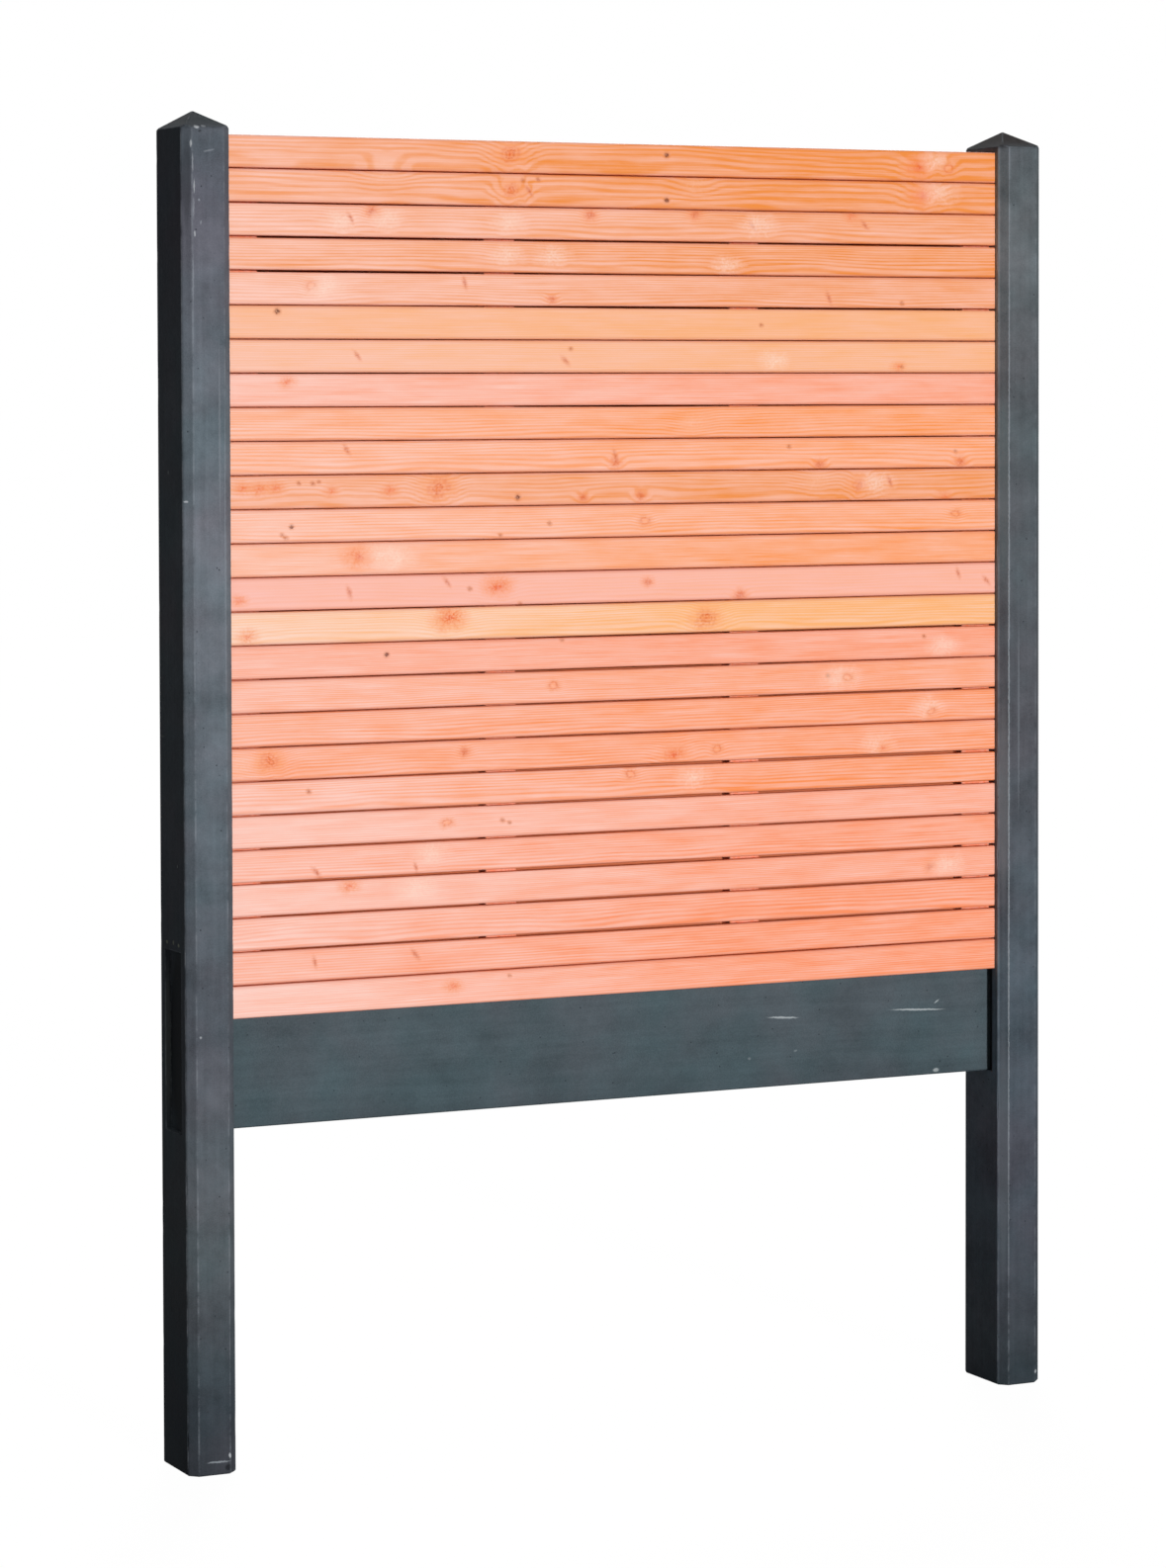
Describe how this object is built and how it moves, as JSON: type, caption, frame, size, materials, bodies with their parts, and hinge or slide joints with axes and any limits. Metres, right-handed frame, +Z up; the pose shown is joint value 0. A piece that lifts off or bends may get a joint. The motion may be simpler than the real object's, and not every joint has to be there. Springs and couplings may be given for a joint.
{
  "type": "fence panel",
  "caption": "One fence bay: two pocketed concrete posts with pyramid heads, a concrete base plate and a double-sided slatted timber screen standing on the plate.",
  "frame": {"origin": "centre of the left post's foot, on its flat underside", "axes": "+X along the fence towards the right post, -Y the front with the slats, +Z up"},
  "size_m": [2.016, 0.175, 2.775],
  "materials": {
    "post_concrete": "cast anthracite concrete",
    "plate_concrete": "cast anthracite concrete, smooth",
    "slat_wood": "planed and stained softwood",
    "frame_wood": "sawn softwood",
    "rear_wood": "planed and stained softwood",
    "zinc_steel": "zinc plated"
  },
  "bodies": {
    "root": {"left_post": "post_concrete", "right_post": "post_concrete", "base_plate": "plate_concrete", "slat_01": "slat_wood", "slat_02": "slat_wood", "slat_03": "slat_wood", "slat_04": "slat_wood", "slat_05": "slat_wood", "slat_06": "slat_wood", "slat_07": "slat_wood", "slat_08": "slat_wood", "slat_09": "slat_wood", "slat_10": "slat_wood", "slat_11": "slat_wood", "slat_12": "slat_wood", "slat_13": "slat_wood", "slat_14": "slat_wood", "slat_15": "slat_wood", "slat_16": "slat_wood", "slat_17": "slat_wood", "slat_18": "slat_wood", "slat_19": "slat_wood", "slat_20": "slat_wood", "slat_21": "slat_wood", "slat_22": "slat_wood", "slat_23": "slat_wood", "slat_24": "slat_wood", "slat_25": "slat_wood", "slat_26": "slat_wood", "batten_1": "frame_wood", "batten_2": "frame_wood", "batten_3": "frame_wood", "batten_4": "frame_wood", "rear_boards": "rear_wood", "bracket_left_low": "zinc_steel", "bracket_left_middle": "zinc_steel", "bracket_left_high": "zinc_steel", "bracket_right_low": "zinc_steel", "bracket_right_middle": "zinc_steel", "bracket_right_high": "zinc_steel"}
  },
  "joints": []
}
